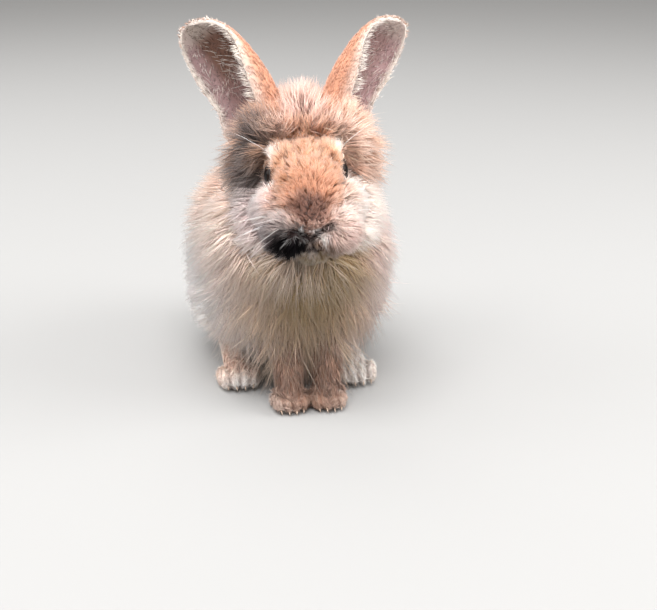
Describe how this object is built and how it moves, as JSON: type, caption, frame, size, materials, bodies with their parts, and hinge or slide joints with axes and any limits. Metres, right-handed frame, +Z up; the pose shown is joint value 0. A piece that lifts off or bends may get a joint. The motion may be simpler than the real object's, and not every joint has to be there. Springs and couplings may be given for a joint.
{
  "type": "dwarf rabbit figure",
  "caption": "Life-size still model of a long-haired dwarf rabbit sitting upright on all four feet, ears erect, facing forward.",
  "frame": {"origin": "on the floor, under the middle of the box round the whole rabbit", "axes": "+Z up, -Y where the rabbit looks, +X its own left side"},
  "size_m": [0.142, 0.2216, 0.2243],
  "materials": {
    "coat_tan": "soft orange tan fur, long and fluffy",
    "coat_cream": "soft pinkish cream fur, long and fluffy",
    "coat_rust": "short rust tan fur lying flat",
    "eye_brown": "wet, very dark brown eye"
  },
  "bodies": {
    "root": {"head": "coat_tan", "ear_left": "coat_rust", "ear_right": "coat_rust", "eye_left": "eye_brown", "eye_right": "eye_brown", "neck": "coat_cream", "chest": "coat_cream", "torso": "coat_tan", "thigh_left": "coat_tan", "thigh_right": "coat_tan", "tail": "coat_cream", "foreleg_left": "coat_rust", "foreleg_right": "coat_rust", "forefoot_left": "coat_rust", "forefoot_right": "coat_rust", "hindfoot_left": "coat_cream", "hindfoot_right": "coat_cream"}
  },
  "joints": []
}
